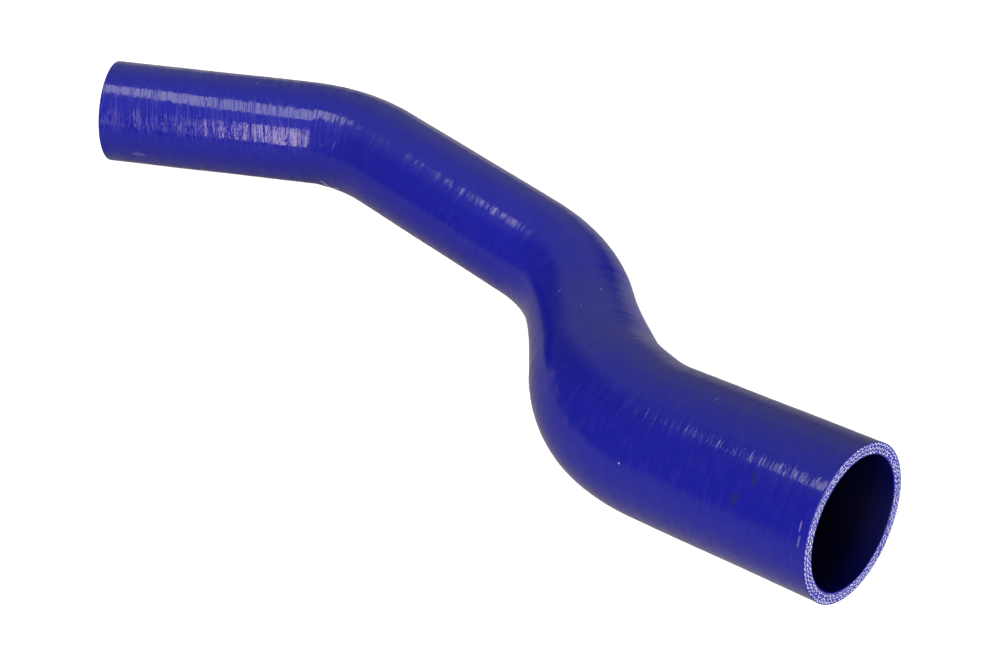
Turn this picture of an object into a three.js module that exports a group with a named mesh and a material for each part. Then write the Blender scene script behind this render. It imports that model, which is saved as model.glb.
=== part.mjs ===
// Silicone intercooler hose: one hand-wrapped and cured tube with three bends,
// which widens from a small end to a big end with a wall that stays even.
// Millimetres and degrees, +Z up. The hose lies on its side as it rests on a bench,
// with its small end to the left and its big end to the right.

import * as THREE from 'three';
import { toCreasedNormals } from 'three/addons/utils/BufferGeometryUtils.js';

// Section of the hose
const smallBore = 36;
const bigBore = 51;
const wallThickness = 4.5;
const endEdgeBreak = 0.4;

// Route of the centreline, from the small end to the big end.
// A roll is the side that a bend turns to, as a clock angle seen along the hose:
// 0 is up, 90 is right, 180 is down and 270 is left.
const smallLegLength = 89.5;
const firstBendRadius = 70;
const firstBendAngle = 33;
const firstBendRoll = 90;
const middleLegLength = 86;
const secondBendRadius = 64;
const secondBendAngle = 40;
const secondBendRoll = 83.2;
const jogLength = 39;
const thirdBendRadius = 70;
const thirdBendAngle = 42;
const thirdBendRoll = 282.7;
const bigLegLength = 83;

// The widening, which starts where the second bend ends and ends inside the third bend
const taperLength = 71;

// Fineness of the facets
const sidesRound = 48;
const bendStepAngle = 3.6;
const taperStepLength = 5.5;

const hoseColour = 0x211fa0;
const hoseRoughness = 0.38;

const straight = (length) => ({ length, angle: 0 });

const bend = (radius, angle, roll) => ({
  length: radius * THREE.MathUtils.degToRad(angle),
  radius,
  angle,
  roll,
});

const route = [
  straight(smallLegLength),
  bend(firstBendRadius, firstBendAngle, firstBendRoll),
  straight(middleLegLength),
  bend(secondBendRadius, secondBendAngle, secondBendRoll),
  straight(jogLength),
  bend(thirdBendRadius, thirdBendAngle, thirdBendRoll),
  straight(bigLegLength),
];

const sumOfLengths = (runs) => runs.reduce((sum, run) => sum + run.length, 0);

const hoseLength = sumOfLengths(route);
const taperStart = sumOfLengths(route.slice(0, 4));
const taperEnd = taperStart + taperLength;

// Bore radius at a distance along the centreline: an eased cone between two plain tubes
function boreRadiusAt(distance) {
  const widening = THREE.MathUtils.smoothstep(distance, taperStart, taperEnd);
  return THREE.MathUtils.lerp(smallBore, bigBore, widening) / 2;
}

const outerRadiusAt = (distance) => boreRadiusAt(distance) + wallThickness;

// The hose's own axes at the start of each run, as columns: heading, up, right, place
function layOutRuns(runs) {
  const frame = new THREE.Matrix4().makeBasis(
    new THREE.Vector3(1, 0, 0),
    new THREE.Vector3(0, 0, 1),
    new THREE.Vector3(0, -1, 0),
  );
  let start = 0;
  return runs.map((run) => {
    const laid = { ...run, start, frame: frame.clone() };
    frame.multiply(stepAlong(laid, run.length));
    start += run.length;
    return laid;
  });
}

// Move from the start of a run to a point on it. The axes turn with a bend and never
// spin about the heading, so the tube isn't twisted.
function stepAlong(run, travel) {
  if (run.angle === 0) {
    return new THREE.Matrix4().makeTranslation(travel, 0, 0);
  }
  const roll = THREE.MathUtils.degToRad(run.roll);
  const toCentre = new THREE.Vector3(0, Math.cos(roll), Math.sin(roll)).multiplyScalar(run.radius);
  const hinge = new THREE.Vector3(1, 0, 0).cross(toCentre).normalize();
  const turn = new THREE.Matrix4().makeRotationAxis(hinge, travel / run.radius);
  const there = new THREE.Matrix4().makeTranslation(toCentre);
  const back = new THREE.Matrix4().makeTranslation(toCentre.clone().negate());
  return there.multiply(turn).multiply(back);
}

function frameAt(laidRuns, distance) {
  const run = laidRuns.findLast((laid) => distance >= laid.start);
  return run.frame.clone().multiply(stepAlong(run, distance - run.start));
}

function stepsIn(run) {
  if (run.angle > 0) {
    return Math.ceil(run.angle / bendStepAngle);
  }
  const widens = run.start < taperEnd && run.start + run.length > taperStart;
  return widens ? Math.ceil(run.length / taperStepLength) : 1;
}

// Distances along the hose where its section is drawn, one cut end to the other
function stationsAlong(laidRuns) {
  const inside = laidRuns.flatMap((run) => {
    const steps = stepsIn(run);
    return Array.from({ length: steps }, (_, step) => run.start + (run.length * step) / steps);
  });
  return [endEdgeBreak, ...inside.slice(1), hoseLength - endEdgeBreak];
}

// Closed half-section of the hose pulled straight: out along the outside and back
// along the bore, with a small edge break at each rim
function straightSection(stations) {
  const rim = (distance) => [
    new THREE.Vector2(boreRadiusAt(distance) + endEdgeBreak, distance),
    new THREE.Vector2(outerRadiusAt(distance) - endEdgeBreak, distance),
  ];
  const outside = stations.map((distance) => new THREE.Vector2(outerRadiusAt(distance), distance));
  const bore = stations.map((distance) => new THREE.Vector2(boreRadiusAt(distance), distance));
  const section = [...rim(0), ...outside, ...rim(hoseLength).reverse(), ...bore.reverse()];
  return [...section, section[0]];
}

// Lay a straight tube, turned about Y, along the bent centreline
function bendAlong(geometry, laidRuns) {
  const points = geometry.getAttribute('position');
  const point = new THREE.Vector3();
  for (let i = 0; i < points.count; i += 1) {
    point.fromBufferAttribute(points, i);
    const frame = frameAt(laidRuns, point.y);
    point.set(0, point.z, point.x).applyMatrix4(frame);
    points.setXYZ(i, point.x, point.y, point.z);
  }
  return geometry;
}

function hoseGeometry() {
  const laidRuns = layOutRuns(route);
  const section = straightSection(stationsAlong(laidRuns));
  const straightTube = new THREE.LatheGeometry(section, sidesRound);
  const bentTube = bendAlong(straightTube, laidRuns);
  bentTube.deleteAttribute('uv');
  return toCreasedNormals(bentTube, THREE.MathUtils.degToRad(30));
}

function siliconeRubber() {
  return new THREE.MeshStandardMaterial({
    name: 'blue silicone rubber',
    color: hoseColour,
    roughness: hoseRoughness,
    metalness: 0,
  });
}

// Put the middle of the hose's outline over the origin and its underside on the bench
function setDown(mesh) {
  const box = new THREE.Box3().setFromObject(mesh);
  const middle = box.getCenter(new THREE.Vector3());
  mesh.position.set(-middle.x, -middle.y, -box.min.z);
  return mesh;
}

const hose = new THREE.Mesh(hoseGeometry(), siliconeRubber());
hose.name = 'intercooler_hose';

const group = new THREE.Group();
group.add(setDown(hose));

export default group;
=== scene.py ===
"""Looks of the silicone intercooler hose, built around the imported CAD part.

The hose is rebuilt with the marks of the tape that it was wrapped in, its cut faces show
the ends of the woven plies, two loose fibres cling to it, and a plain studio lights it.
Metres throughout, except where a comment says millimetres.
"""

import math
import random

import bpy
import numpy as np
from bpy.props import FloatProperty, FloatVectorProperty, IntProperty, PointerProperty
from mathutils import Matrix, Vector


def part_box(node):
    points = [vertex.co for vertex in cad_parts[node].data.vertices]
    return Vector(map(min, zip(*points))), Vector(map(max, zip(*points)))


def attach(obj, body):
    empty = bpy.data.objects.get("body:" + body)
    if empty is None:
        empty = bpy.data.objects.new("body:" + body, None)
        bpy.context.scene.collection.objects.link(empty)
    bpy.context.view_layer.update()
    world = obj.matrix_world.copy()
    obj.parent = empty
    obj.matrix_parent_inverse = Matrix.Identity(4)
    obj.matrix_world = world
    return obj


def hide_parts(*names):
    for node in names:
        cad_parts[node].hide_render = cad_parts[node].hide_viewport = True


bl_info = {
    "name": "Silicone Intercooler Hose",
    "version": (1, 0, 0),
    "blender": (4, 5, 0),
    "location": "3D View > Sidebar > Hose",
    "description": "Builds a wrapped silicone hose with three bends, its cut plies and a studio",
    "category": "Object",
}

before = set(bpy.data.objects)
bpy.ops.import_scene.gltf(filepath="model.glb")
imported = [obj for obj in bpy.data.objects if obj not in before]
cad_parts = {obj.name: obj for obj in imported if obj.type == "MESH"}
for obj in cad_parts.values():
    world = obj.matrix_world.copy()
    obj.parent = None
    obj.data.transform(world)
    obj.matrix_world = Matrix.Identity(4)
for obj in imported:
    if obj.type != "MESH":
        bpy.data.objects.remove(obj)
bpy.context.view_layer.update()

HOSE_NODE = "intercooler_hose"

MILLIMETRE = 0.001
TURN = 2 * math.pi


# Properties


def length(name, description, millimetres, lowest=0.0):
    """A size, given here in millimetres and kept in metres"""
    return FloatProperty(
        name=name,
        description=description,
        default=millimetres * MILLIMETRE,
        min=lowest * MILLIMETRE,
        precision=5,
        subtype="DISTANCE",
        unit="LENGTH",
    )


def angle(name, description, degrees):
    """An angle, given here in degrees and kept in radians"""
    return FloatProperty(
        name=name,
        description=description,
        default=math.radians(degrees),
        subtype="ANGLE",
        unit="ROTATION",
    )


def colour(name, description, default):
    """A scene-linear colour"""
    return FloatVectorProperty(
        name=name,
        description=description,
        default=default,
        size=3,
        min=0.0,
        max=1.0,
        subtype="COLOR",
    )


class HoseShape(bpy.types.PropertyGroup):
    """Section of the hose and the route of its centreline"""

    small_bore: length("Small Bore", "Inside diameter at the small end", 36, 5)
    big_bore: length("Big Bore", "Inside diameter at the big end", 51, 5)
    wall: length("Wall", "Thickness of the wall, the same all along", 4.5, 1)
    rim_rounding: length("Rim Rounding", "Radius on the edges of the cut faces", 0.18)
    small_leg: length("Small Leg", "Straight length at the small end", 89.5)
    first_radius: length("First Bend Radius", "Centreline radius of the first bend", 70, 10)
    first_angle: angle("First Bend Angle", "How far the first bend turns", 33)
    first_roll: angle("First Bend Side", "Clock angle that the first bend turns to", 90)
    middle_leg: length("Middle Leg", "Straight length between the first two bends", 86)
    second_radius: length("Second Bend Radius", "Centreline radius of the second bend", 64, 10)
    second_angle: angle("Second Bend Angle", "How far the second bend turns", 40)
    second_roll: angle("Second Bend Side", "Clock angle that the second bend turns to", 83.2)
    jog: length("Jog", "Straight length between the last two bends", 39)
    third_radius: length("Third Bend Radius", "Centreline radius of the third bend", 70, 10)
    third_angle: angle("Third Bend Angle", "How far the third bend turns", 42)
    third_roll: angle("Third Bend Side", "Clock angle that the third bend turns to", 282.7)
    big_leg: length("Big Leg", "Straight length at the big end", 83)
    taper: length("Taper", "Length of the widening, from the end of the second bend", 71, 1)


class HoseSurface(bpy.types.PropertyGroup):
    """Colour and wrap marks of the silicone"""

    blue: colour("Blue", "Pigment towards the big end", (0.0092, 0.0120, 0.366))
    small_blue: colour("Small End Blue", "Pigment near the small end", (0.0090, 0.0117, 0.322))
    # Also the pale painted sheen along the cover's streaks mixes towards this colour
    pale_wear_and_sheen_blue: colour("Pale Blue", "Where the cover is rubbed or powdery", (0.019, 0.021, 0.37))
    liner_blue: colour("Liner Blue", "Bore at its ends", (0.0015, 0.0025, 0.065))
    # Painted shade: near black in place of the shade deep inside the bore
    bore_shade_blue: colour("Bore Shade Blue", "Bore away from its ends", (0.0004, 0.0006, 0.020))
    yarn_white: colour("Yarn", "Cut polyester yarn", (0.95, 0.94, 0.93))
    wrap_advance: length("Wrap Advance", "How far the tape moves along in one turn", 18, 2)
    ring_width: length("Ring Width", "Typical width of the fine rings", 0.65, 0.2)
    ring_depth: length("Ring Depth", "Depth of the fine rings, as bump", 0.022)
    wave_depth: length("Wave Depth", "Depth of the bands left by the tape", 0.045)
    unevenness: length("Unevenness", "How far the wall wanders over a hand's width", 0.09)


class PlyCut(bpy.types.PropertyGroup):
    """The woven plies where the hose is cut"""

    plies: IntProperty(name="Plies", description="Layers of woven fabric", default=3, min=1, max=8)
    cover: length("Cover", "Solid silicone outside the plies", 0.20)
    liner: length("Liner", "Solid silicone inside the plies", 0.28)
    yarn_length: length("Yarn Cut Length", "Length of a slanting cut through a yarn", 1.5)
    yarn_height: length("Yarn Cut Height", "Thickness of a yarn, across the wall", 0.56)
    yarn_proud: length("Yarn Proud", "How far a cut yarn stands out of the face", 0.05)
    yarn_pitch: length("Yarn Pitch", "Distance from yarn to yarn round the face", 1.15)
    weave_swing: length("Weave Swing", "How far a yarn goes up and down through its ply", 0.42)
    weave_tilt: angle("Weave Tilt", "Slant of each cut as the yarn goes over and under", 24)
    seed: IntProperty(name="Seed", description="Start of the random numbers", default=7)


# Centreline and section


def straight_run(run_length):
    return run_length, 0.0, 0.0, 0.0


def bend_run(radius, bend_angle, roll):
    return radius * bend_angle, radius, bend_angle, roll


def runs_of(shape):
    """(length, radius, angle, roll) of each run from the small end. A straight run has no angle"""
    return [
        straight_run(shape.small_leg),
        bend_run(shape.first_radius, shape.first_angle, shape.first_roll),
        straight_run(shape.middle_leg),
        bend_run(shape.second_radius, shape.second_angle, shape.second_roll),
        straight_run(shape.jog),
        bend_run(shape.third_radius, shape.third_angle, shape.third_roll),
        straight_run(shape.big_leg),
    ]


# The run where the widening starts, counted from 0, which is the jog
WIDENING_RUN = 4

# Axes at the small end, as columns: heading +X, up +Z, right -Y
START_AXES = Matrix(((1, 0, 0, 0), (0, 0, -1, 0), (0, 1, 0, 0), (0, 0, 0, 1)))


def step_along(run, travel):
    """Move by a distance inside one run, in the hose's own axes: heading, up, right"""
    _, radius, bend_angle, roll = run
    if bend_angle == 0:
        return Matrix.Translation((travel, 0, 0))
    to_centre = Vector((0, math.cos(roll), math.sin(roll))) * radius
    hinge = Vector((1, 0, 0)).cross(to_centre).normalized()
    turn = Matrix.Rotation(travel / radius, 4, hinge)
    return Matrix.Translation(to_centre) @ turn @ Matrix.Translation(-to_centre)


class Route:
    """The hose's centreline, with axes that turn along it and never spin"""

    def __init__(self, shape):
        self.shape = shape
        self.runs = runs_of(shape)
        small_radius = shape.small_bore / 2 + shape.wall
        low, high = (Vector(corner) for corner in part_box(HOSE_NODE))
        start = Vector((low.x, high.y - small_radius, low.z + small_radius))
        place = Matrix.Translation(start) @ START_AXES
        self.starts, self.frames = [], []
        travelled = 0.0
        for run in self.runs:
            self.starts.append(travelled)
            self.frames.append(place.copy())
            place = place @ step_along(run, run[0])
            travelled += run[0]
        self.length = travelled
        self.taper_start = self.starts[WIDENING_RUN]

    def at(self, distance):
        """Axes and place at a distance along the hose, as a matrix"""
        index = max(i for i, start in enumerate(self.starts) if distance >= start or i == 0)
        step = step_along(self.runs[index], distance - self.starts[index])
        return self.frames[index] @ step

    def widening(self, distance):
        """0 in the small tube, 1 in the big one"""
        share_done = np.clip((distance - self.taper_start) / self.shape.taper, 0, 1)
        return share_done * share_done * (3 - 2 * share_done)

    def bore_radius(self, distance):
        small, big = self.shape.small_bore / 2, self.shape.big_bore / 2
        return small + (big - small) * self.widening(distance)


# Mesh

RING_POINTS = 96
OUTSIDE_STEP = 0.60 * MILLIMETRE
BORE_STEP = 2.4 * MILLIMETRE
FACE_RINGS = 8
RIM_ANGLES = (0, 30, 60, 90)

# Parts of the wall's section, which are also the places of their materials on the mesh
OUTSIDE, BORE, CUT_FACE = 0, 1, 2

RELIEF_SEED = 11

# Bands left by the tape: waves in one turn, the strength that a band shares out over its
# waves, the range in millimetres over which it drifts, and the shares of all along the hose
BAND_COUNTS = range(2, 7)
BAND_STRENGTH = 1.5
BAND_DRIFT = (60, 110)
BAND_PLACES = (0.08, 0.14, 0.22, 0.26, 0.38)
BAND_SHARES = (0.32, 0.50, 0.50, 0.60, 0.45)

# Slow wander of the wall: waves round the hose, and the range of their lengths in millimetres
WANDER_TURNS = (0, 1, 1, 2, 2, 3)
WANDER_LENGTHS = (38, 90)

# The first bend stays straight a little longer on its inner side, then turns faster
BEND_START_PLACES = (0.091, 0.097, 0.100, 0.102, 0.1055)
BEND_START_SLOPES = (0.0, -0.075, 0.06, 0.06, 0.0)
BEND_START_STEPS = 200


def wrap_relief(surface, route, distance, around):
    """Height of the outside above the plain tube: tape bands that wind round it, a slow wander
    and the late start of the first bend"""
    dice = random.Random(RELIEF_SEED)
    wound = TURN * distance / surface.wrap_advance - around
    relief = np.zeros_like(distance)
    for count in BAND_COUNTS:
        drift = TURN * distance / (dice.uniform(*BAND_DRIFT) * MILLIMETRE)
        lean = dice.choice((-1, 1)) * around
        phase = count * wound + dice.uniform(0, TURN)
        phase = phase + np.sin(drift + lean + dice.uniform(0, TURN))
        relief += np.cos(phase) * surface.wave_depth * BAND_STRENGTH / count
    relief *= np.interp(distance, BAND_PLACES, BAND_SHARES)
    for turns in WANDER_TURNS:
        wave = TURN * distance / (dice.uniform(*WANDER_LENGTHS) * MILLIMETRE)
        phase = wave + dice.choice((-1, 1)) * turns * around + dice.uniform(0, TURN)
        relief += np.cos(phase) * surface.unevenness / len(WANDER_TURNS)
    places = np.linspace(BEND_START_PLACES[0], BEND_START_PLACES[-1], BEND_START_STEPS)
    slopes = np.interp(places, BEND_START_PLACES, BEND_START_SLOPES)
    depths = np.cumsum(slopes) * (places[1] - places[0])
    inner_side = np.clip(np.cos(around - route.shape.first_roll), 0, 1)
    relief += np.interp(distance, places, depths) * inner_side
    return relief


def profile_of(shape, route):
    """Closed section of the wall as rows of (distance, share of the wall from the bore, part)"""
    rounding = shape.rim_rounding
    share_rounding = rounding / shape.wall
    quarter = [math.radians(a) for a in RIM_ANGLES]

    def cut_face(plane, inward):
        rim = [
            (plane + inward * rounding * (1 - math.sin(a)), share_rounding * (1 - math.cos(a)))
            for a in quarter
        ]
        shares = np.linspace(share_rounding, 1 - share_rounding, FACE_RINGS + 1)[1:-1]
        flat = [(plane, share) for share in shares]
        return [*rim, *flat, *((place, 1 - share) for place, share in reversed(rim))]

    first, last = rounding, route.length - rounding
    outside_count = int((last - first) / OUTSIDE_STEP)
    bore_count = int((last - first) / BORE_STEP)
    small_face = cut_face(0.0, 1)
    big_face = cut_face(route.length, -1)[::-1]
    return [
        *((place, share, CUT_FACE) for place, share in small_face),
        *((place, 1.0, OUTSIDE) for place in np.linspace(first, last, outside_count + 1)[1:-1]),
        *((place, share, CUT_FACE) for place, share in big_face),
        *((place, 0.0, BORE) for place in np.linspace(last, first, bore_count + 1)[1:-1]),
    ]


def part_between(first, second):
    """Which part the strip of faces between two rows of the section belongs to"""
    if first == CUT_FACE and second == CUT_FACE:
        return CUT_FACE
    return BORE if BORE in (first, second) else OUTSIDE


def hose_mesh(shape, surface, route):
    """The hose as one closed mesh, with its place on the straightened hose kept on each point"""
    rows = profile_of(shape, route)
    distance = np.array([row[0] for row in rows])
    wall_share = np.array([row[1] for row in rows])
    around = np.arange(RING_POINTS) * TURN / RING_POINTS
    grid_distance = np.repeat(distance[:, None], RING_POINTS, axis=1)
    grid_around = np.repeat(around[None, :], len(rows), axis=0)
    relief = wrap_relief(surface, route, grid_distance, grid_around) * wall_share[:, None]
    radius = (route.bore_radius(distance) + wall_share * shape.wall)[:, None] + relief

    frames = np.array([np.array(route.at(d)) for d in distance])
    up, right, place = frames[:, :3, 1], frames[:, :3, 2], frames[:, :3, 3]
    out = (
        np.cos(grid_around)[..., None] * up[:, None, :]
        + np.sin(grid_around)[..., None] * right[:, None, :]
    )
    points = place[:, None, :] + out * radius[..., None]
    straight = np.stack(
        [radius * np.cos(grid_around), radius * np.sin(grid_around), grid_distance], axis=-1
    )

    faces, parts = [], []
    for row in range(len(rows)):
        after = (row + 1) % len(rows)
        part = part_between(rows[row][2], rows[after][2])
        for side in range(RING_POINTS):
            beside = (side + 1) % RING_POINTS
            faces.append(
                (
                    row * RING_POINTS + side,
                    row * RING_POINTS + beside,
                    after * RING_POINTS + beside,
                    after * RING_POINTS + side,
                )
            )
            parts.append(part)
    mesh = bpy.data.meshes.new("hose")
    mesh.from_pydata(points.reshape(-1, 3).tolist(), [], faces)
    mesh.polygons.foreach_set("material_index", parts)
    mesh.polygons.foreach_set("use_smooth", [True] * len(faces))
    attribute = mesh.attributes.new("straight_place", "FLOAT_VECTOR", "POINT")
    attribute.data.foreach_set("vector", straight.reshape(-1).astype(np.float32))
    depth = mesh.attributes.new("wall_share", "FLOAT", "POINT")
    depth.data.foreach_set("value", np.repeat(wall_share, RING_POINTS).astype(np.float32))
    mesh.update()
    return mesh


YARN_SIDES = 10

# Rings of a cut yarn end round its top: share of its reach, and share of its height
YARN_RINGS = ((0.62, 0.72), (1.0, -0.35))

# Ranges that the cut yarn ends vary in, as shares of the pitch and of their own sizes
YARN_JITTER = (-0.22, 0.22)
SWING_RANGE = (0.7, 1.25)
TILT_RANGE = (0.55, 1.3)
REACH_RANGE = (0.6, 1.15)
PROUD_RANGE = (0.5, 1.3)

# How far a ply wanders, as a share of its thickness, in how many waves, and how many of its
# yarns don't show
PLY_WANDER = 0.12
PLY_WAVES = 3
MISSING_YARNS = 0.04


def yarn_cap(half_length, half_height, proud):
    """A cut yarn end as a low lens: points and faces, with its flat underside sunk in the face"""
    points = [(0.0, 0.0, proud)]
    for reach, lift in YARN_RINGS:
        for i in range(YARN_SIDES):
            a = TURN * i / YARN_SIDES
            x, y = half_length * reach * math.cos(a), half_height * reach * math.sin(a)
            points.append((x, y, proud * lift))
    faces = [(0, 1 + i, 1 + (i + 1) % YARN_SIDES) for i in range(YARN_SIDES)]
    for i in range(YARN_SIDES):
        beside = (i + 1) % YARN_SIDES
        faces.append((1 + i, 1 + YARN_SIDES + i, 1 + YARN_SIDES + beside, 1 + beside))
    faces.append(tuple(1 + YARN_SIDES + i for i in reversed(range(YARN_SIDES))))
    return points, faces


def smooth_mesh(name, points, faces):
    mesh = bpy.data.meshes.new(name)
    mesh.from_pydata([tuple(point) for point in points], [], faces)
    mesh.polygons.foreach_set("use_smooth", [True] * len(faces))
    mesh.update()
    return mesh


def yarn_ends_mesh(name, shape, cut, route, distance, outward):
    """All the yarn ends on one cut face. Each ply is a plain weave cut across, so its yarns lie
    alternately high and low and slant one way and the other"""
    dice = random.Random(cut.seed + int(distance / MILLIMETRE))
    axes = route.at(distance)
    bore = route.bore_radius(distance)
    ply_zone = shape.wall - cut.cover - cut.liner
    ply_thickness = ply_zone / cut.plies
    points, faces = [], []
    for ply in range(cut.plies):
        ply_radius = bore + cut.liner + (ply + 0.5) * ply_thickness
        count = 2 * round(TURN * ply_radius / cut.yarn_pitch / 2)
        offset = dice.uniform(0, TURN)
        for index in range(count):
            side = 1 if index % 2 else -1
            around = offset + TURN * (index + dice.uniform(*YARN_JITTER)) / count
            radius = ply_radius + side * cut.weave_swing / 2 * dice.uniform(*SWING_RANGE)
            radius += PLY_WANDER * ply_thickness * math.sin(PLY_WAVES * around + ply)
            tilt = side * cut.weave_tilt * dice.uniform(*TILT_RANGE)
            half_length = cut.yarn_length / 2 * dice.uniform(*REACH_RANGE)
            half_height = cut.yarn_height / 2 * dice.uniform(*REACH_RANGE)
            proud = cut.yarn_proud * dice.uniform(*PROUD_RANGE)
            if dice.random() < MISSING_YARNS:
                continue
            out = Vector((0, math.cos(around), math.sin(around)))
            along = Vector((0, -math.sin(around), math.cos(around)))
            long_way = along * math.cos(tilt) + out * math.sin(tilt)
            cross_way = out * math.cos(tilt) - along * math.sin(tilt)
            cap_points, cap_faces = yarn_cap(half_length, half_height, proud)
            first = len(points)
            for x, y, z in cap_points:
                local = out * radius + long_way * x + cross_way * y + Vector((outward * z, 0, 0))
                points.append(axes @ local)
            for face in cap_faces:
                moved = [first + corner for corner in face]
                faces.append(moved[::-1] if outward < 0 else moved)
    return smooth_mesh(name, points, faces)


# Loose fibres as points of (distance, clock angle, radius) in millimetres and degrees: one
# frayed at the big cut face, one stuck to the cover at the first bend
LOOSE_FIBRES = {
    "frayed_fibre": (
        (433.5, 68.5, 28.0),
        (434.8, 69.5, 28.7),
        (435.3, 71.5, 29.2),
        (434.9, 74.0, 29.4),
    ),
    "stray_fibre": (
        (105.0, 112.0, 22.5),
        (108.0, 115.0, 22.9),
        (112.0, 116.5, 23.4),
        (116.0, 115.5, 23.2),
        (118.0, 113.0, 22.6),
    ),
}
FIBRE_RADIUS = 0.09 * MILLIMETRE
FIBRE_SIDES = 6
FIBRE_STEPS = 6


def fibre_mesh(name, route, corners):
    """A thin round thread through the points, smoothed between them"""
    order = len(corners) - 1
    stops, fine = np.arange(len(corners)), np.linspace(0, order, FIBRE_STEPS * order + 1)
    columns = [np.polyval(np.polyfit(stops, column, order), fine) for column in zip(*corners)]
    centres = []
    for distance, clock, radius in zip(*columns):
        around = math.radians(clock)
        local = Vector((0, math.cos(around), math.sin(around))) * radius * MILLIMETRE
        past_end = Vector((max(0.0, distance * MILLIMETRE - route.length), 0, 0))
        centre = route.at(min(distance * MILLIMETRE, route.length)) @ local
        centres.append(centre + route.at(route.length).to_3x3() @ past_end)
    points, faces = [], []
    for index, centre in enumerate(centres):
        before, after = centres[max(index - 1, 0)], centres[min(index + 1, len(centres) - 1)]
        turn = (after - before).to_track_quat("Z", "Y")
        for side in range(FIBRE_SIDES):
            a = TURN * side / FIBRE_SIDES
            points.append(centre + turn @ Vector((math.cos(a), math.sin(a), 0)) * FIBRE_RADIUS)
    for index in range(len(centres) - 1):
        low, high = index * FIBRE_SIDES, (index + 1) * FIBRE_SIDES
        for side in range(FIBRE_SIDES):
            beside = (side + 1) % FIBRE_SIDES
            faces.append((low + side, low + beside, high + beside, high + side))
    faces.append(tuple(reversed(range(FIBRE_SIDES))))
    faces.append(tuple(range(len(points) - FIBRE_SIDES, len(points))))
    return smooth_mesh(name, points, faces)


def add_object(name, data):
    made = bpy.data.objects.new(name, data)
    bpy.context.scene.collection.objects.link(made)
    return made


# Shader nodes

VALUE = "NodeSocketFloat"
PLACE = "NodeSocketVector"
WHITE = (1.0, 1.0, 1.0)


def opaque(rgb):
    return (*rgb, 1.0)


def put(tree, socket, value):
    """Link an output to this input, or write the value on it"""
    if isinstance(value, bpy.types.NodeSocket):
        tree.links.new(value, socket)
    else:
        socket.default_value = value


def add_node(tree, kind, settings=None, **inputs):
    """Add a node. Its inputs are named with _ for a space, and take a value or an output socket"""
    made = tree.nodes.new(kind)
    for name, value in (settings or {}).items():
        setattr(made, name, value)
    for name, value in inputs.items():
        put(tree, made.inputs[name.replace("_", " ")], value)
    return made


def do_math(tree, operation, *values, clamp=False):
    made = add_node(tree, "ShaderNodeMath", {"operation": operation, "use_clamp": clamp})
    for socket, value in zip(made.inputs, values):
        put(tree, socket, value)
    return made.outputs[0]


def times(tree, first, second):
    return do_math(tree, "MULTIPLY", first, second)


def plus(tree, first, second):
    return do_math(tree, "ADD", first, second)


def minus(tree, first, second):
    return do_math(tree, "SUBTRACT", first, second)


def highest(tree, first, second):
    return do_math(tree, "MAXIMUM", first, second)


def vector_math(tree, operation, *values):
    made = add_node(tree, "ShaderNodeVectorMath", {"operation": operation})
    for socket, value in zip(made.inputs, values):
        put(tree, socket, value)
    return made.outputs["Value" if operation in {"DOT_PRODUCT", "LENGTH", "DISTANCE"} else 0]


def ramp(tree, value, low, high, to_low=0.0, to_high=1.0, smooth=True):
    """Map a value from low..high to to_low..to_high, held at the ends"""
    made = add_node(
        tree,
        "ShaderNodeMapRange",
        {"interpolation_type": "SMOOTHSTEP" if smooth else "LINEAR"},
        Value=value,
        From_Min=low,
        From_Max=high,
        To_Min=to_low,
        To_Max=to_high,
    )
    return made.outputs["Result"]


def mix_colours(tree, factor, first, second):
    """Mix two colours, each an output socket or a colour without its alpha"""
    made = add_node(tree, "ShaderNodeMix", {"data_type": "RGBA"})
    inputs = {socket.identifier: socket for socket in made.inputs}
    put(tree, inputs["Factor_Float"], factor)
    for identifier, mixed in (("A_Color", first), ("B_Color", second)):
        is_output = isinstance(mixed, bpy.types.NodeSocket)
        put(tree, inputs[identifier], mixed if is_output else opaque(mixed))
    return next(s for s in made.outputs if s.identifier == "Result_Color")


def noise(tree, vector, scale, detail=2.0, roughness=0.5, w=None):
    made = add_node(
        tree,
        "ShaderNodeTexNoise",
        {"noise_dimensions": "4D" if w is not None else "3D"},
        Vector=vector,
        Scale=scale,
        Detail=detail,
        Roughness=roughness,
    )
    if w is not None:
        put(tree, made.inputs["W"], w)
    return made.outputs["Fac"]


def axes_of(tree, vector):
    """X, Y and Z of a vector, as outputs"""
    return add_node(tree, "ShaderNodeSeparateXYZ", Vector=vector).outputs


def kept_on_mesh(tree, name, output):
    """A value that the hose's mesh keeps on each point"""
    return add_node(tree, "ShaderNodeAttribute", {"attribute_name": name}).outputs[output]


def straight_place(tree):
    return kept_on_mesh(tree, "straight_place", "Vector")


def new_group(name, inputs, outputs):
    """An empty node group: inputs as {name: (socket type, default)}, outputs as {name: type}"""
    group = bpy.data.node_groups.new(name, "ShaderNodeTree")
    for label, (kind, default) in inputs.items():
        socket = group.interface.new_socket(label, in_out="INPUT", socket_type=kind)
        if default is not None:
            socket.default_value = default
    for label, kind in outputs.items():
        group.interface.new_socket(label, in_out="OUTPUT", socket_type=kind)
    return group, group.nodes.new("NodeGroupInput"), group.nodes.new("NodeGroupOutput")


def use_group(tree, group, **inputs):
    return add_node(tree, "ShaderNodeGroup", {"node_tree": group}, **inputs).outputs


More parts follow.
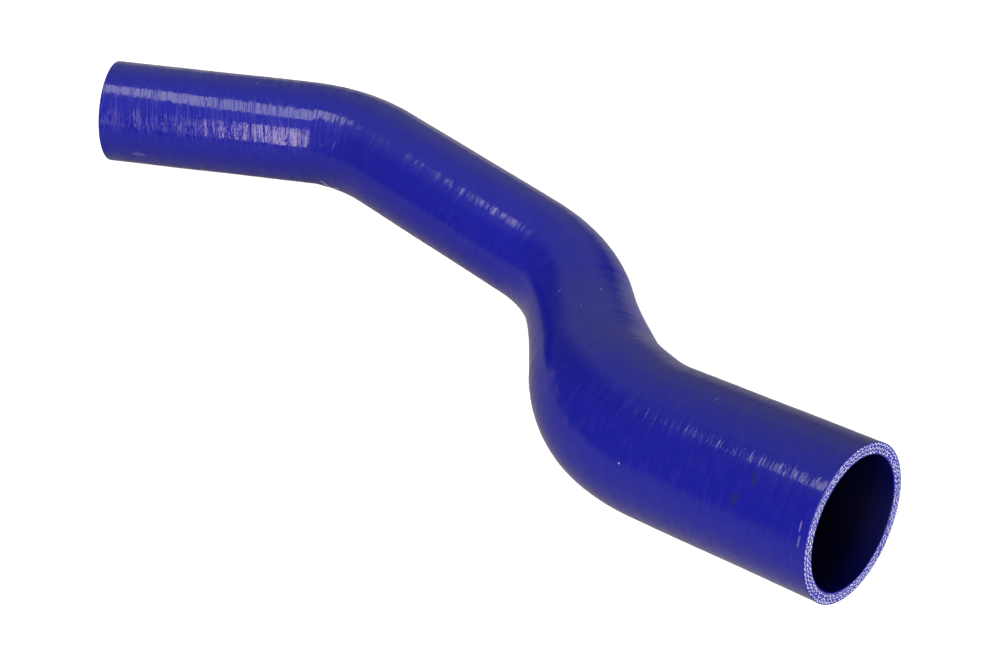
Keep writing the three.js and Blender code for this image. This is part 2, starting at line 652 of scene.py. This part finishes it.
# Wrap marks. A scale is in cells a metre, and a ramp is (low, high, value at low, value at
# high). The ramps along the hose run over metres from the small end
RING_STRETCH = 0.13
RING_DRIFT = (0.0035, 0.0022)
RING_ALONG = (0.020, 0.085, 0.12, 0.60)
BUSY_SCALE = 260.0
BUSY_RAMP = (0.36, 0.58, 0.38, 1.0)
GROOVE_RAMP = (0.015, 0.052, 1.0, 0.0)
GROOVE_DEPTH = 0.22
DIMPLE_STRETCH = (1.0, 1.0, 2.4)
DIMPLE_SCALE = 380.0
DIMPLE_DETAIL = 1.5
DIMPLE_HEIGHT = 1.5
STREAK_STRETCH = (1.0, 1.0, 7.0)
STREAK_SCALE = 130.0
# The last ramp picks the streaks that the cover paints paler as sheen
STREAK_SHEEN_RAMP = (0.48, 0.72)
SWELL_ALONG = (0.06, 0.20, 0.3, 3.0)
PATCH_SCALE = 45.0
PATCH_RAMP = (0.35, 0.65)


def wrap_marks_group():
    """Marks left by the tape: fine rings and grooves that wind round the hose and change from
    turn to turn, dimples, short streaks and broad patches. The streaks also give the mask of
    a pale painted sheen"""
    known = bpy.data.node_groups.get("wrap marks")
    if known:
        return known
    tree, given, result = new_group(
        "wrap marks",
        {
            "Place": (PLACE, None),
            "Wrap Advance": (VALUE, 18 * MILLIMETRE),
            "Ring Width": (VALUE, 0.65 * MILLIMETRE),
        },
        {"Height": VALUE, "Groove": VALUE, "Streak Sheen": VALUE, "Patch": VALUE},
    )
    place = given.outputs["Place"]
    parts = axes_of(tree, place)
    flat = add_node(tree, "ShaderNodeCombineXYZ", X=parts["X"], Y=parts["Y"]).outputs[0]
    side = axes_of(tree, vector_math(tree, "NORMALIZE", flat))
    advance = given.outputs["Wrap Advance"]
    turned = do_math(tree, "DIVIDE", times(tree, parts["Z"], TURN), advance)
    cosine, sine = do_math(tree, "COSINE", turned), do_math(tree, "SINE", turned)
    wound_x = plus(tree, times(tree, side["X"], cosine), times(tree, side["Y"], sine))
    wound_y = minus(tree, times(tree, side["X"], sine), times(tree, side["Y"], cosine))
    circle = do_math(tree, "DIVIDE", advance, TURN)
    wound = add_node(
        tree,
        "ShaderNodeCombineXYZ",
        X=times(tree, wound_x, circle),
        Y=times(tree, wound_y, circle),
        Z=times(tree, parts["Z"], RING_STRETCH),
    ).outputs[0]
    drift_x, drift_y = RING_DRIFT
    drift = plus(tree, times(tree, side["X"], drift_x), times(tree, side["Y"], drift_y))
    scale = do_math(tree, "DIVIDE", 1.0, given.outputs["Ring Width"])
    rings = noise(tree, wound, scale, detail=1.0, w=drift)
    off_level = do_math(tree, "ABSOLUTE", minus(tree, rings, 0.5))
    busy = ramp(tree, noise(tree, wound, BUSY_SCALE, detail=1.0), *BUSY_RAMP)
    groove = times(tree, ramp(tree, off_level, *GROOVE_RAMP), busy)
    stretched = vector_math(tree, "MULTIPLY", place, DIMPLE_STRETCH)
    dimples = noise(tree, stretched, DIMPLE_SCALE, DIMPLE_DETAIL)
    streaks = noise(tree, vector_math(tree, "MULTIPLY", place, STREAK_STRETCH), STREAK_SCALE)
    swell = times(tree, streaks, ramp(tree, parts["Z"], *SWELL_ALONG))
    height = plus(
        tree,
        times(tree, rings, ramp(tree, parts["Z"], *RING_ALONG)),
        plus(tree, swell, times(tree, dimples, DIMPLE_HEIGHT)),
    )
    patch = noise(tree, place, PATCH_SCALE)
    put(tree, result.inputs["Height"], minus(tree, height, times(tree, groove, GROOVE_DEPTH)))
    put(tree, result.inputs["Groove"], groove)
    # Mask of the pale painted sheen along the streaks
    put(tree, result.inputs["Streak Sheen"], ramp(tree, streaks, *STREAK_SHEEN_RAMP))
    put(tree, result.inputs["Patch"], ramp(tree, patch, *PATCH_RAMP))
    return tree


def wrap_marks(tree, place, surface_set):
    return use_group(
        tree,
        wrap_marks_group(),
        Place=place,
        Wrap_Advance=surface_set.wrap_advance,
        Ring_Width=surface_set.ring_width,
    )


# Handling marks
SMUDGE_SCALE = 60.0
SMUDGE_DETAIL = 4.0
SMUDGE_ROUGHNESS = 0.6
SMUDGE_RAMP = (0.55, 0.75)
SPECKLESS_SHARE = 0.8


def handling_marks_group():
    """Faint smudges and a few pale specks from handling"""
    known = bpy.data.node_groups.get("handling marks")
    if known:
        return known
    tree, given, result = new_group(
        "handling marks",
        {
            "Place": (PLACE, None),
            "Speck Spacing": (VALUE, 17 * MILLIMETRE),
            "Speck Size": (VALUE, 0.3 * MILLIMETRE),
        },
        {"Smudge": VALUE, "Speck": VALUE},
    )
    place = given.outputs["Place"]
    smudge = noise(tree, place, SMUDGE_SCALE, SMUDGE_DETAIL, SMUDGE_ROUGHNESS)
    spacing = do_math(tree, "DIVIDE", 1.0, given.outputs["Speck Spacing"])
    cells = add_node(
        tree, "ShaderNodeTexVoronoi", {"feature": "F1"}, Vector=place, Scale=spacing, Randomness=1.0
    ).outputs
    reach = times(tree, given.outputs["Speck Size"], spacing)
    chance = axes_of(tree, cells["Color"])["X"]
    wanted = do_math(tree, "GREATER_THAN", chance, SPECKLESS_SHARE)
    near = do_math(tree, "LESS_THAN", cells["Distance"], reach)
    put(tree, result.inputs["Smudge"], ramp(tree, smudge, *SMUDGE_RAMP))
    put(tree, result.inputs["Speck"], times(tree, wanted, near))
    return tree


# How a mark fades towards its ends and its sides, as ramps over its half length and half width
MARK_END_FADE = (0.45, 1.0, 1.0, 0.0)
MARK_SIDE_FADE = (0.35, 1.0, 1.0, 0.0)


def one_mark_group():
    """A short straight mark with soft ends, as a mask"""
    known = bpy.data.node_groups.get("one mark")
    if known:
        return known
    tree, given, result = new_group(
        "one mark",
        {
            "Place": (PLACE, None),
            "Centre": (PLACE, None),
            "Direction": (PLACE, None),
            "Half Length": (VALUE, 2 * MILLIMETRE),
            "Half Width": (VALUE, 0.2 * MILLIMETRE),
        },
        {"Mask": VALUE},
    )
    offset = vector_math(tree, "SUBTRACT", given.outputs["Place"], given.outputs["Centre"])
    direction = given.outputs["Direction"]
    along = vector_math(tree, "DOT_PRODUCT", offset, direction)
    on_line = add_node(tree, "ShaderNodeVectorMath", {"operation": "SCALE"}, Scale=along)
    put(tree, on_line.inputs[0], direction)
    across = vector_math(tree, "DISTANCE", offset, on_line.outputs[0])
    from_middle = do_math(tree, "ABSOLUTE", along)
    reach = do_math(tree, "DIVIDE", from_middle, given.outputs["Half Length"])
    spread = do_math(tree, "DIVIDE", across, given.outputs["Half Width"])
    ends, sides = ramp(tree, reach, *MARK_END_FADE), ramp(tree, spread, *MARK_SIDE_FADE)
    put(tree, result.inputs["Mask"], times(tree, ends, sides))
    return tree


def marks_mask(tree, place, marks):
    """Where any of the listed marks is"""
    total = 0.0
    for distance, clock, radius, mark_length, width, tilt, strength in marks:
        around, slant = math.radians(clock), math.radians(tilt)
        centre = Vector((radius * math.cos(around), radius * math.sin(around), distance))
        round_hose = Vector((-math.sin(around), math.cos(around), 0))
        mask = use_group(
            tree,
            one_mark_group(),
            Place=place,
            Centre=centre * MILLIMETRE,
            Direction=round_hose * math.sin(slant) + Vector((0, 0, math.cos(slant))),
            Half_Length=mark_length / 2 * MILLIMETRE,
            Half_Width=width / 2 * MILLIMETRE,
        )["Mask"]
        total = highest(tree, total, times(tree, mask, strength))
    return total


def new_material(name):
    """An empty material: itself, its tree and its Principled BSDF, which is linked to the output"""
    material = bpy.data.materials.new(name)
    material.use_nodes = True
    tree = material.node_tree
    tree.nodes.clear()
    surface = tree.nodes.new("ShaderNodeBsdfPrincipled")
    output = tree.nodes.new("ShaderNodeOutputMaterial")
    tree.links.new(surface.outputs["BSDF"], output.inputs["Surface"])
    return material, tree, surface


def add_bump(tree, surface, height, depth, strength=1.0):
    bump = add_node(tree, "ShaderNodeBump", Strength=strength, Distance=depth, Height=height)
    put(tree, surface.inputs["Normal"], bump.outputs["Normal"])


# Marks on the cover: distance along the hose, clock angle, radius of the hose there, length,
# width, tilt (0 along the hose, 90 round it) and strength, in millimetres and degrees
SCRATCHES = (
    (15.4, 104.0, 22.5, 3.2, 0.45, 50, 0.55),
    (17.3, 102.5, 22.5, 3.4, 0.45, 50, 0.55),
    (19.2, 104.0, 22.5, 3.0, 0.45, 50, 0.55),
    (114.6, 54.5, 22.5, 5.6, 0.45, 97, 0.22),
    (67.4, 353.0, 22.5, 1.0, 0.8, 0, 0.5),
    (272.1, 25.9, 23.1, 2.2, 0.6, 60, 0.35),
    (276.3, 345.3, 23.5, 1.0, 0.8, 0, 0.5),
    (286.5, 8.4, 24.8, 0.9, 0.7, 0, 0.2),
    (353.2, 70.7, 30.0, 0.9, 0.8, 0, 0.75),
    (376.3, 358.6, 30.0, 4.4, 0.5, -80, 0.15),
    (430.2, 60.5, 30.0, 5.0, 0.7, 88, 0.28),
    (430.8, 70.5, 30.0, 5.5, 1.1, 92, 0.16),
)
GREY_SMUDGES = (
    (407.8, 43.8, 30.0, 6.0, 3.4, 70, 0.5),
    (403.0, 61.1, 30.0, 6.5, 3.8, 110, 0.5),
)
SCRATCH_COLOUR = (0.66, 0.60, 0.82)
SMUDGE_COLOUR = (0.020, 0.024, 0.10)
SPECK_COLOUR = (0.35, 0.34, 0.55)

SILICONE_IOR = 1.43

# Cover, with ramps over metres from the small end
GROOVES_RISE = (0.010, 0.055, 0.5, 1.0)
GROOVES_FADE = (0.090, 0.160, 1.0, 0.15)
# Painted sheen: the streaks are real shallow swellings in the bump, and their paler colour, rising
# from 100 to 200 mm, stands in for their glints
STREAK_SHEEN_RISE = (0.100, 0.200, 0.0, 0.65)
PIGMENT_CHANGE = (0.110, 0.240)
END_WEAR = (0.004, 0.016, 0.03, 0.0)

# How much paler and duller the marks make the cover
GROOVE_PALENESS = 0.15
SMUDGE_PALENESS = 0.35
PATCH_DULLNESS = (0.0, 1.0, 0.05, 0.08)
GROOVE_DULLNESS = 0.75
SMUDGE_DULLNESS = 0.06


def cover_silicone(surface_set):
    """Glossy cured silicone with the tape's rings, grooves and streaks, smudges, specks and
    single marks. A pale painted sheen along the streaks stands in for their glints"""
    material, tree, surface = new_material("cover silicone")
    place = straight_place(tree)
    marks = wrap_marks(tree, place, surface_set)
    handled = use_group(tree, handling_marks_group(), Place=place)
    along = axes_of(tree, place)["Z"]
    grooved = times(tree, ramp(tree, along, *GROOVES_RISE), ramp(tree, along, *GROOVES_FADE))
    groove = times(tree, marks["Groove"], grooved)
    # Painted sheen along the streaks
    streak_sheen = times(tree, marks["Streak Sheen"], ramp(tree, along, *STREAK_SHEEN_RISE))
    tape_paleness_and_sheen = plus(tree, streak_sheen, times(tree, groove, GROOVE_PALENESS))
    smudged = times(tree, handled["Smudge"], SMUDGE_PALENESS)
    paleness = do_math(tree, "ADD", tape_paleness_and_sheen, smudged, clamp=True)
    change = ramp(tree, along, *PIGMENT_CHANGE)
    pigment = mix_colours(tree, change, surface_set.small_blue, surface_set.blue)
    base = mix_colours(tree, paleness, pigment, surface_set.pale_wear_and_sheen_blue)
    specked = mix_colours(tree, handled["Speck"], base, SPECK_COLOUR)
    greyed = mix_colours(tree, marks_mask(tree, place, GREY_SMUDGES), specked, SMUDGE_COLOUR)
    scratched = mix_colours(tree, marks_mask(tree, place, SCRATCHES), greyed, SCRATCH_COLOUR)
    put(tree, surface.inputs["Base Color"], scratched)
    handled_dull = times(tree, handled["Smudge"], SMUDGE_DULLNESS)
    worn = plus(tree, handled_dull, ramp(tree, along, *END_WEAR))
    dull = plus(tree, worn, times(tree, groove, GROOVE_DULLNESS))
    rough = plus(tree, ramp(tree, marks["Patch"], *PATCH_DULLNESS), dull)
    put(tree, surface.inputs["Roughness"], rough)
    surface.inputs["IOR"].default_value = SILICONE_IOR
    add_bump(tree, surface, marks["Height"], surface_set.ring_depth)
    return material


# Bore. Painted shade: the liner's colour fades to near black over this reach from each end,
# standing in for the shade deeper inside the bore
BORE_SHADE_REACH = 12 * MILLIMETRE
BORE_DULLNESS = (0.0, 1.0, 0.48, 0.6)
BORE_SPECULAR = 0.10
BORE_BUMP = 0.5


def bore_silicone(surface_set, route):
    """The liner inside the bore: darker and duller, with faint rings, and painted shade that
    darkens it to near black away from its ends
    """
    material, tree, surface = new_material("bore silicone")
    place = straight_place(tree)
    marks = wrap_marks(tree, place, surface_set)
    along = axes_of(tree, place)["Z"]
    from_end = do_math(tree, "MINIMUM", along, minus(tree, route.length, along))
    deep = ramp(tree, from_end, 0.0, BORE_SHADE_REACH)
    # Painted shade: darker away from the bore's ends
    base = mix_colours(tree, deep, surface_set.liner_blue, surface_set.bore_shade_blue)
    put(tree, surface.inputs["Base Color"], base)
    put(tree, surface.inputs["Roughness"], ramp(tree, marks["Patch"], *BORE_DULLNESS))
    surface.inputs["IOR"].default_value = SILICONE_IOR
    surface.inputs["Specular IOR Level"].default_value = BORE_SPECULAR
    add_bump(tree, surface, marks["Height"], surface_set.ring_depth, BORE_BUMP)
    return material


# Cut face. The blur is a share of the wall
PLY_BLUR = 0.03
STUB_SCALE = 2200.0
STUB_DETAIL = 3.0
STUB_ROUGHNESS = 0.65
STUB_RAMP = (0.46, 0.70, 0.0, 0.24)
STUB_DEPTH = 0.08 * MILLIMETRE
STUB_BUMP = 0.6
PLY_DULLNESS = (0.0, 1.0, 0.35, 0.8)


def cut_face_material(surface_set, shape, cut):
    """The knife cut: solid cover and liner, and between them silicone full of fibre stubs"""
    material, tree, surface = new_material("cut face")
    place = straight_place(tree)
    wall = kept_on_mesh(tree, "wall_share", "Fac")
    inner, outer = cut.liner / shape.wall, 1 - cut.cover / shape.wall
    in_plies = times(
        tree,
        ramp(tree, wall, inner - PLY_BLUR, inner + PLY_BLUR),
        ramp(tree, wall, outer - PLY_BLUR, outer + PLY_BLUR, 1.0, 0.0),
    )
    fuzz = noise(tree, place, STUB_SCALE, STUB_DETAIL, STUB_ROUGHNESS)
    stubs = times(tree, in_plies, ramp(tree, fuzz, *STUB_RAMP))
    base = mix_colours(tree, stubs, surface_set.blue, surface_set.yarn_white)
    put(tree, surface.inputs["Base Color"], base)
    put(tree, surface.inputs["Roughness"], ramp(tree, in_plies, *PLY_DULLNESS))
    add_bump(tree, surface, fuzz, STUB_DEPTH, STUB_BUMP)
    return material


# Yarn. The stain is how much of the silicone's blue the yarn takes on between its filaments
YARN_STAIN = 0.55
GRAIN_SCALE = 5200.0
GRAIN_ROUGHNESS = 0.6
GRAIN_RAMP = (0.35, 0.6)
YARN_DULLNESS = (0.3, 0.7, 0.7, 0.9)
GRAIN_DEPTH = 0.03 * MILLIMETRE
GRAIN_BUMP = 0.5


def yarn_material(surface_set):
    """Polyester filaments: pale, matt and a little blue from the silicone between them"""
    material, tree, surface = new_material("cut yarn")
    coordinates = add_node(tree, "ShaderNodeTexCoord").outputs["Object"]
    grain = noise(tree, coordinates, GRAIN_SCALE, roughness=GRAIN_ROUGHNESS)
    both = zip(surface_set.yarn_white, surface_set.blue)
    stained = tuple((1 - YARN_STAIN) * white + YARN_STAIN * blue for white, blue in both)
    base = mix_colours(tree, ramp(tree, grain, *GRAIN_RAMP), stained, surface_set.yarn_white)
    put(tree, surface.inputs["Base Color"], base)
    put(tree, surface.inputs["Roughness"], ramp(tree, grain, *YARN_DULLNESS))
    add_bump(tree, surface, grain, GRAIN_DEPTH, GRAIN_BUMP)
    return material


# Stage

# Camera: place in metres, turn in degrees, lens and sensor in millimetres
CAMERA_PLACE = (0.11181, -0.53843, 0.57049)
CAMERA_TURN = (44.74, 0.0, 9.81)
CAMERA_LENS = 69.18
CAMERA_SENSOR = 36.0

FLOOR_SIZE = 8.0
FLOOR_DROP = 0.25 * MILLIMETRE
FLOOR_PALE = (0.50, 0.49, 0.48)
FLOOR_DARK = (0.02, 0.02, 0.02)

# Glow of the floor to the camera, its range where the hose mirrors it, and how far its tone
# darkens for diffuse rays
FLOOR_SEEN = 0.93
FLOOR_GLOW = (0.0, 1.0, 0.03, 0.38)
FLOOR_NO_BOUNCE = 0.75

# The floor as the hose mirrors it, over metres from the middle: dark in front, far away and
# to the right, and bright behind
FLOOR_BEHIND = (0.05, 0.50)
FLOOR_FAR = (0.16, 0.50, 0.0, 0.75)
FLOOR_RIGHT = (0.08, 0.45, 0.0, 0.6)
FLOOR_RIGHT_SLANT = 0.6

# The room as the hose mirrors it, over the direction's X, Y or Z
ROOM_DARK = (0.10, 0.095, 0.10)
ROOM_PALE = (0.50, 0.50, 0.51)
WALL_LEFT = (-0.74, -0.48)
WALL_RIGHT = (0.45, 0.05, 0.0, 1.0)
WALL_BACK = (-0.05, 0.30)
WALL_UP = (0.0, 0.40, 0.62, 1.0)
CEILING_UP = (0.60, 0.76)
CEILING_SHARE = 0.80
RIGHT_SIDE = (0.50, 0.80)
RIGHT_UP = (-0.05, 0.15)

# Light that the room bounces onto the hose, most of it from the upper left in front
BOUNCE_FROM = (-0.45, -0.50, 0.74)
BOUNCE_SPREAD = (0.68, 0.95)
BOUNCE_LOW = (0.03, 0.03, 0.03)
BOUNCE_HIGH = (0.88, 0.88, 0.88)

SOFTBOXES = (
    {
        "name": "overhead softbox",
        "shape": "ELLIPSE",
        "place": (-0.476, 0.147, 0.995),
        "aim": (-0.594, 1.054, 0.576),
        "size": (1.34, 0.235),
        "long_way": (-0.472, 0.414, 0.778),
        "radiance": 5.4,
        "tint": (1.0, 0.94, 0.78),
    },
    {
        "name": "front softbox",
        "shape": "RECTANGLE",
        "place": (-0.29, -1.62, 0.84),
        "aim": (-0.29, 0.10, 0.04),
        "size": (0.66, 1.38),
        "long_way": (1.0, 0.0, 0.0),
        "radiance": 10.4,
        "tint": (1.0, 0.816, 0.667),
    },
    {
        "name": "side softbox",
        "shape": "RECTANGLE",
        "place": (1.50, -0.60, 0.45),
        "aim": (0.146, -0.128, 0.054),
        "size": (0.7, 0.7),
        "long_way": (0.0, 0.0, 1.0),
        "radiance": 12.0,
        "tint": (0.93, 0.99, 1.0),
    },
)


def add_floor():
    """A pale floor, near white to the camera, with the hose's soft shadow on it"""
    half = FLOOR_SIZE / 2
    mesh = bpy.data.meshes.new("floor")
    corners = [(-half, -half), (half, -half), (half, half), (-half, half)]
    mesh.from_pydata([(x, y, -FLOOR_DROP) for x, y in corners], [], [(0, 1, 2, 3)])
    floor = add_object("floor", mesh)
    material = bpy.data.materials.new("pale floor")
    material.use_nodes = True
    tree = material.node_tree
    tree.nodes.clear()
    rays = tree.nodes.new("ShaderNodeLightPath").outputs
    mirrored = highest(tree, rays["Is Glossy Ray"], rays["Is Transmission Ray"])
    place = add_node(tree, "ShaderNodeTexCoord").outputs["Object"]
    across = axes_of(tree, place)
    behind = ramp(tree, across["Y"], *FLOOR_BEHIND)
    far = ramp(tree, vector_math(tree, "LENGTH", place), *FLOOR_FAR)
    to_right = plus(tree, across["X"], times(tree, across["Y"], FLOOR_RIGHT_SLANT))
    right = ramp(tree, to_right, *FLOOR_RIGHT)
    dark = highest(tree, times(tree, far, minus(tree, 1.0, behind)), right)
    darkened = highest(
        tree,
        times(tree, dark, mirrored),
        times(tree, rays["Is Diffuse Ray"], FLOOR_NO_BOUNCE),
    )
    tone = mix_colours(tree, darkened, FLOOR_PALE, FLOOR_DARK)
    matt = add_node(tree, "ShaderNodeBsdfDiffuse", Color=tone)
    bright = times(tree, behind, minus(tree, 1.0, right))
    glow = ramp(tree, bright, *FLOOR_GLOW, smooth=False)
    seen = times(tree, rays["Is Camera Ray"], FLOOR_SEEN)
    strength = plus(tree, seen, times(tree, mirrored, glow))
    white = add_node(tree, "ShaderNodeEmission", Color=opaque(WHITE), Strength=strength)
    both = tree.nodes.new("ShaderNodeAddShader")
    tree.links.new(matt.outputs[0], both.inputs[0])
    tree.links.new(white.outputs[0], both.inputs[1])
    output = tree.nodes.new("ShaderNodeOutputMaterial")
    tree.links.new(both.outputs[0], output.inputs["Surface"])
    mesh.materials.append(material)


def add_world():
    """White to the camera. The hose mirrors a dark room with a pale back wall, ceiling and
    right side, and a soft bounce lights it"""
    world = bpy.data.worlds.new("studio")
    bpy.context.scene.world = world
    world.use_nodes = True
    tree = world.node_tree
    tree.nodes.clear()
    direction = add_node(tree, "ShaderNodeTexCoord").outputs["Generated"]
    parts = axes_of(tree, direction)
    x, y, z = parts["X"], parts["Y"], parts["Z"]
    wall_sides = times(tree, ramp(tree, x, *WALL_LEFT), ramp(tree, x, *WALL_RIGHT))
    wall_ahead = times(tree, wall_sides, ramp(tree, y, *WALL_BACK))
    wall = times(tree, wall_ahead, ramp(tree, z, *WALL_UP))
    ceiling = times(tree, ramp(tree, z, *CEILING_UP), CEILING_SHARE)
    right = times(tree, ramp(tree, x, *RIGHT_SIDE), ramp(tree, z, *RIGHT_UP))
    pale = highest(tree, highest(tree, wall, ceiling), right)
    shade = mix_colours(tree, pale, ROOM_DARK, ROOM_PALE)
    rays = tree.nodes.new("ShaderNodeLightPath").outputs
    facing = vector_math(tree, "DOT_PRODUCT", direction, BOUNCE_FROM)
    soft = mix_colours(tree, ramp(tree, facing, *BOUNCE_SPREAD), BOUNCE_LOW, BOUNCE_HIGH)
    lit = mix_colours(tree, rays["Is Diffuse Ray"], shade, soft)
    seen = mix_colours(tree, rays["Is Camera Ray"], lit, WHITE)
    background = add_node(tree, "ShaderNodeBackground", Color=seen, Strength=1.0)
    output = tree.nodes.new("ShaderNodeOutputWorld")
    tree.links.new(background.outputs[0], output.inputs["Surface"])


def add_soft_light(name, shape, place, aim, size, long_way, radiance, tint):
    """A flat soft light of that radiance, its first side along long_way"""
    data = bpy.data.lights.new(name, "AREA")
    data.shape = shape
    data.size, data.size_y = size
    area = size[0] * size[1] * (math.pi / 4 if shape == "ELLIPSE" else 1.0)
    data.energy = radiance * math.pi * area
    data.color = tint
    back = (Vector(place) - Vector(aim)).normalized()
    across = Vector(long_way)
    across = (across - back * across.dot(back)).normalized()
    turn = Matrix((across, back.cross(across), back)).transposed().to_4x4()
    add_object(name, data).matrix_world = Matrix.Translation(place) @ turn


def add_camera():
    data = bpy.data.cameras.new("camera")
    data.sensor_width = CAMERA_SENSOR
    data.lens = CAMERA_LENS
    camera = add_object("camera", data)
    camera.location = CAMERA_PLACE
    camera.rotation_euler = [math.radians(a) for a in CAMERA_TURN]
    bpy.context.scene.camera = camera


# Operators and panel


class HOSE_OT_body(bpy.types.Operator):
    """Build the wrapped silicone hose in place of the CAD solid"""

    bl_idname = "hose.body"
    bl_label = "Hose Body"

    def execute(self, context):
        shape, surface = context.scene.hose_shape, context.scene.hose_surface
        cut = context.scene.hose_plies
        route = Route(shape)
        mesh = hose_mesh(shape, surface, route)
        mesh.materials.append(cover_silicone(surface))
        mesh.materials.append(bore_silicone(surface, route))
        mesh.materials.append(cut_face_material(surface, shape, cut))
        hose = add_object("wrapped_hose", mesh)
        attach(hose, "root")
        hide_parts(HOSE_NODE)
        return {"FINISHED"}


class HOSE_OT_yarn_ends(bpy.types.Operator):
    """Build the cut yarn ends of the plies on both faces and the loose fibres"""

    bl_idname = "hose.yarn_ends"
    bl_label = "Yarn Ends"

    def execute(self, context):
        shape, cut = context.scene.hose_shape, context.scene.hose_plies
        route = Route(shape)
        material = yarn_material(context.scene.hose_surface)
        for name, distance, outward in (
            ("yarn_ends_small", 0.0, -1),
            ("yarn_ends_big", route.length, 1),
        ):
            mesh = yarn_ends_mesh(name, shape, cut, route, distance, outward)
            mesh.materials.append(material)
            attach(add_object(name, mesh), "root")
        for name, corners in LOOSE_FIBRES.items():
            mesh = fibre_mesh(name, route, corners)
            mesh.materials.append(material)
            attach(add_object(name, mesh), "root")
        return {"FINISHED"}


class HOSE_OT_stage(bpy.types.Operator):
    """Set up the floor, the lights, the surroundings and the camera"""

    bl_idname = "hose.stage"
    bl_label = "Studio"

    def execute(self, context):
        context.scene.view_settings.view_transform = "Standard"
        add_floor()
        add_world()
        for softbox in SOFTBOXES:
            add_soft_light(**softbox)
        add_camera()
        return {"FINISHED"}


class HOSE_PT_panel(bpy.types.Panel):
    """Sizes, colours and the steps that build the hose"""

    bl_idname = "HOSE_PT_panel"
    bl_label = "Intercooler Hose"
    bl_space_type = "VIEW_3D"
    bl_region_type = "UI"
    bl_category = "Hose"

    def draw(self, context):
        layout = self.layout
        for step in STEPS:
            layout.operator(step.bl_idname)
        for settings in (
            context.scene.hose_shape,
            context.scene.hose_surface,
            context.scene.hose_plies,
        ):
            column = layout.box().column()
            for name in settings.__annotations__:
                column.prop(settings, name)


SETTINGS = {"hose_shape": HoseShape, "hose_surface": HoseSurface, "hose_plies": PlyCut}
STEPS = (HOSE_OT_body, HOSE_OT_yarn_ends, HOSE_OT_stage)


def register():
    for settings in SETTINGS.values():
        bpy.utils.register_class(settings)
    for name, settings in SETTINGS.items():
        setattr(bpy.types.Scene, name, PointerProperty(type=settings))
    for step in (*STEPS, HOSE_PT_panel):
        bpy.utils.register_class(step)


def unregister():
    for step in reversed((*STEPS, HOSE_PT_panel)):
        bpy.utils.unregister_class(step)
    for name in SETTINGS:
        delattr(bpy.types.Scene, name)
    for settings in reversed(SETTINGS.values()):
        bpy.utils.unregister_class(settings)


def main():
    register()
    bpy.ops.hose.body()
    bpy.ops.hose.yarn_ends()
    bpy.ops.hose.stage()


if __name__ == "__main__":
    main()
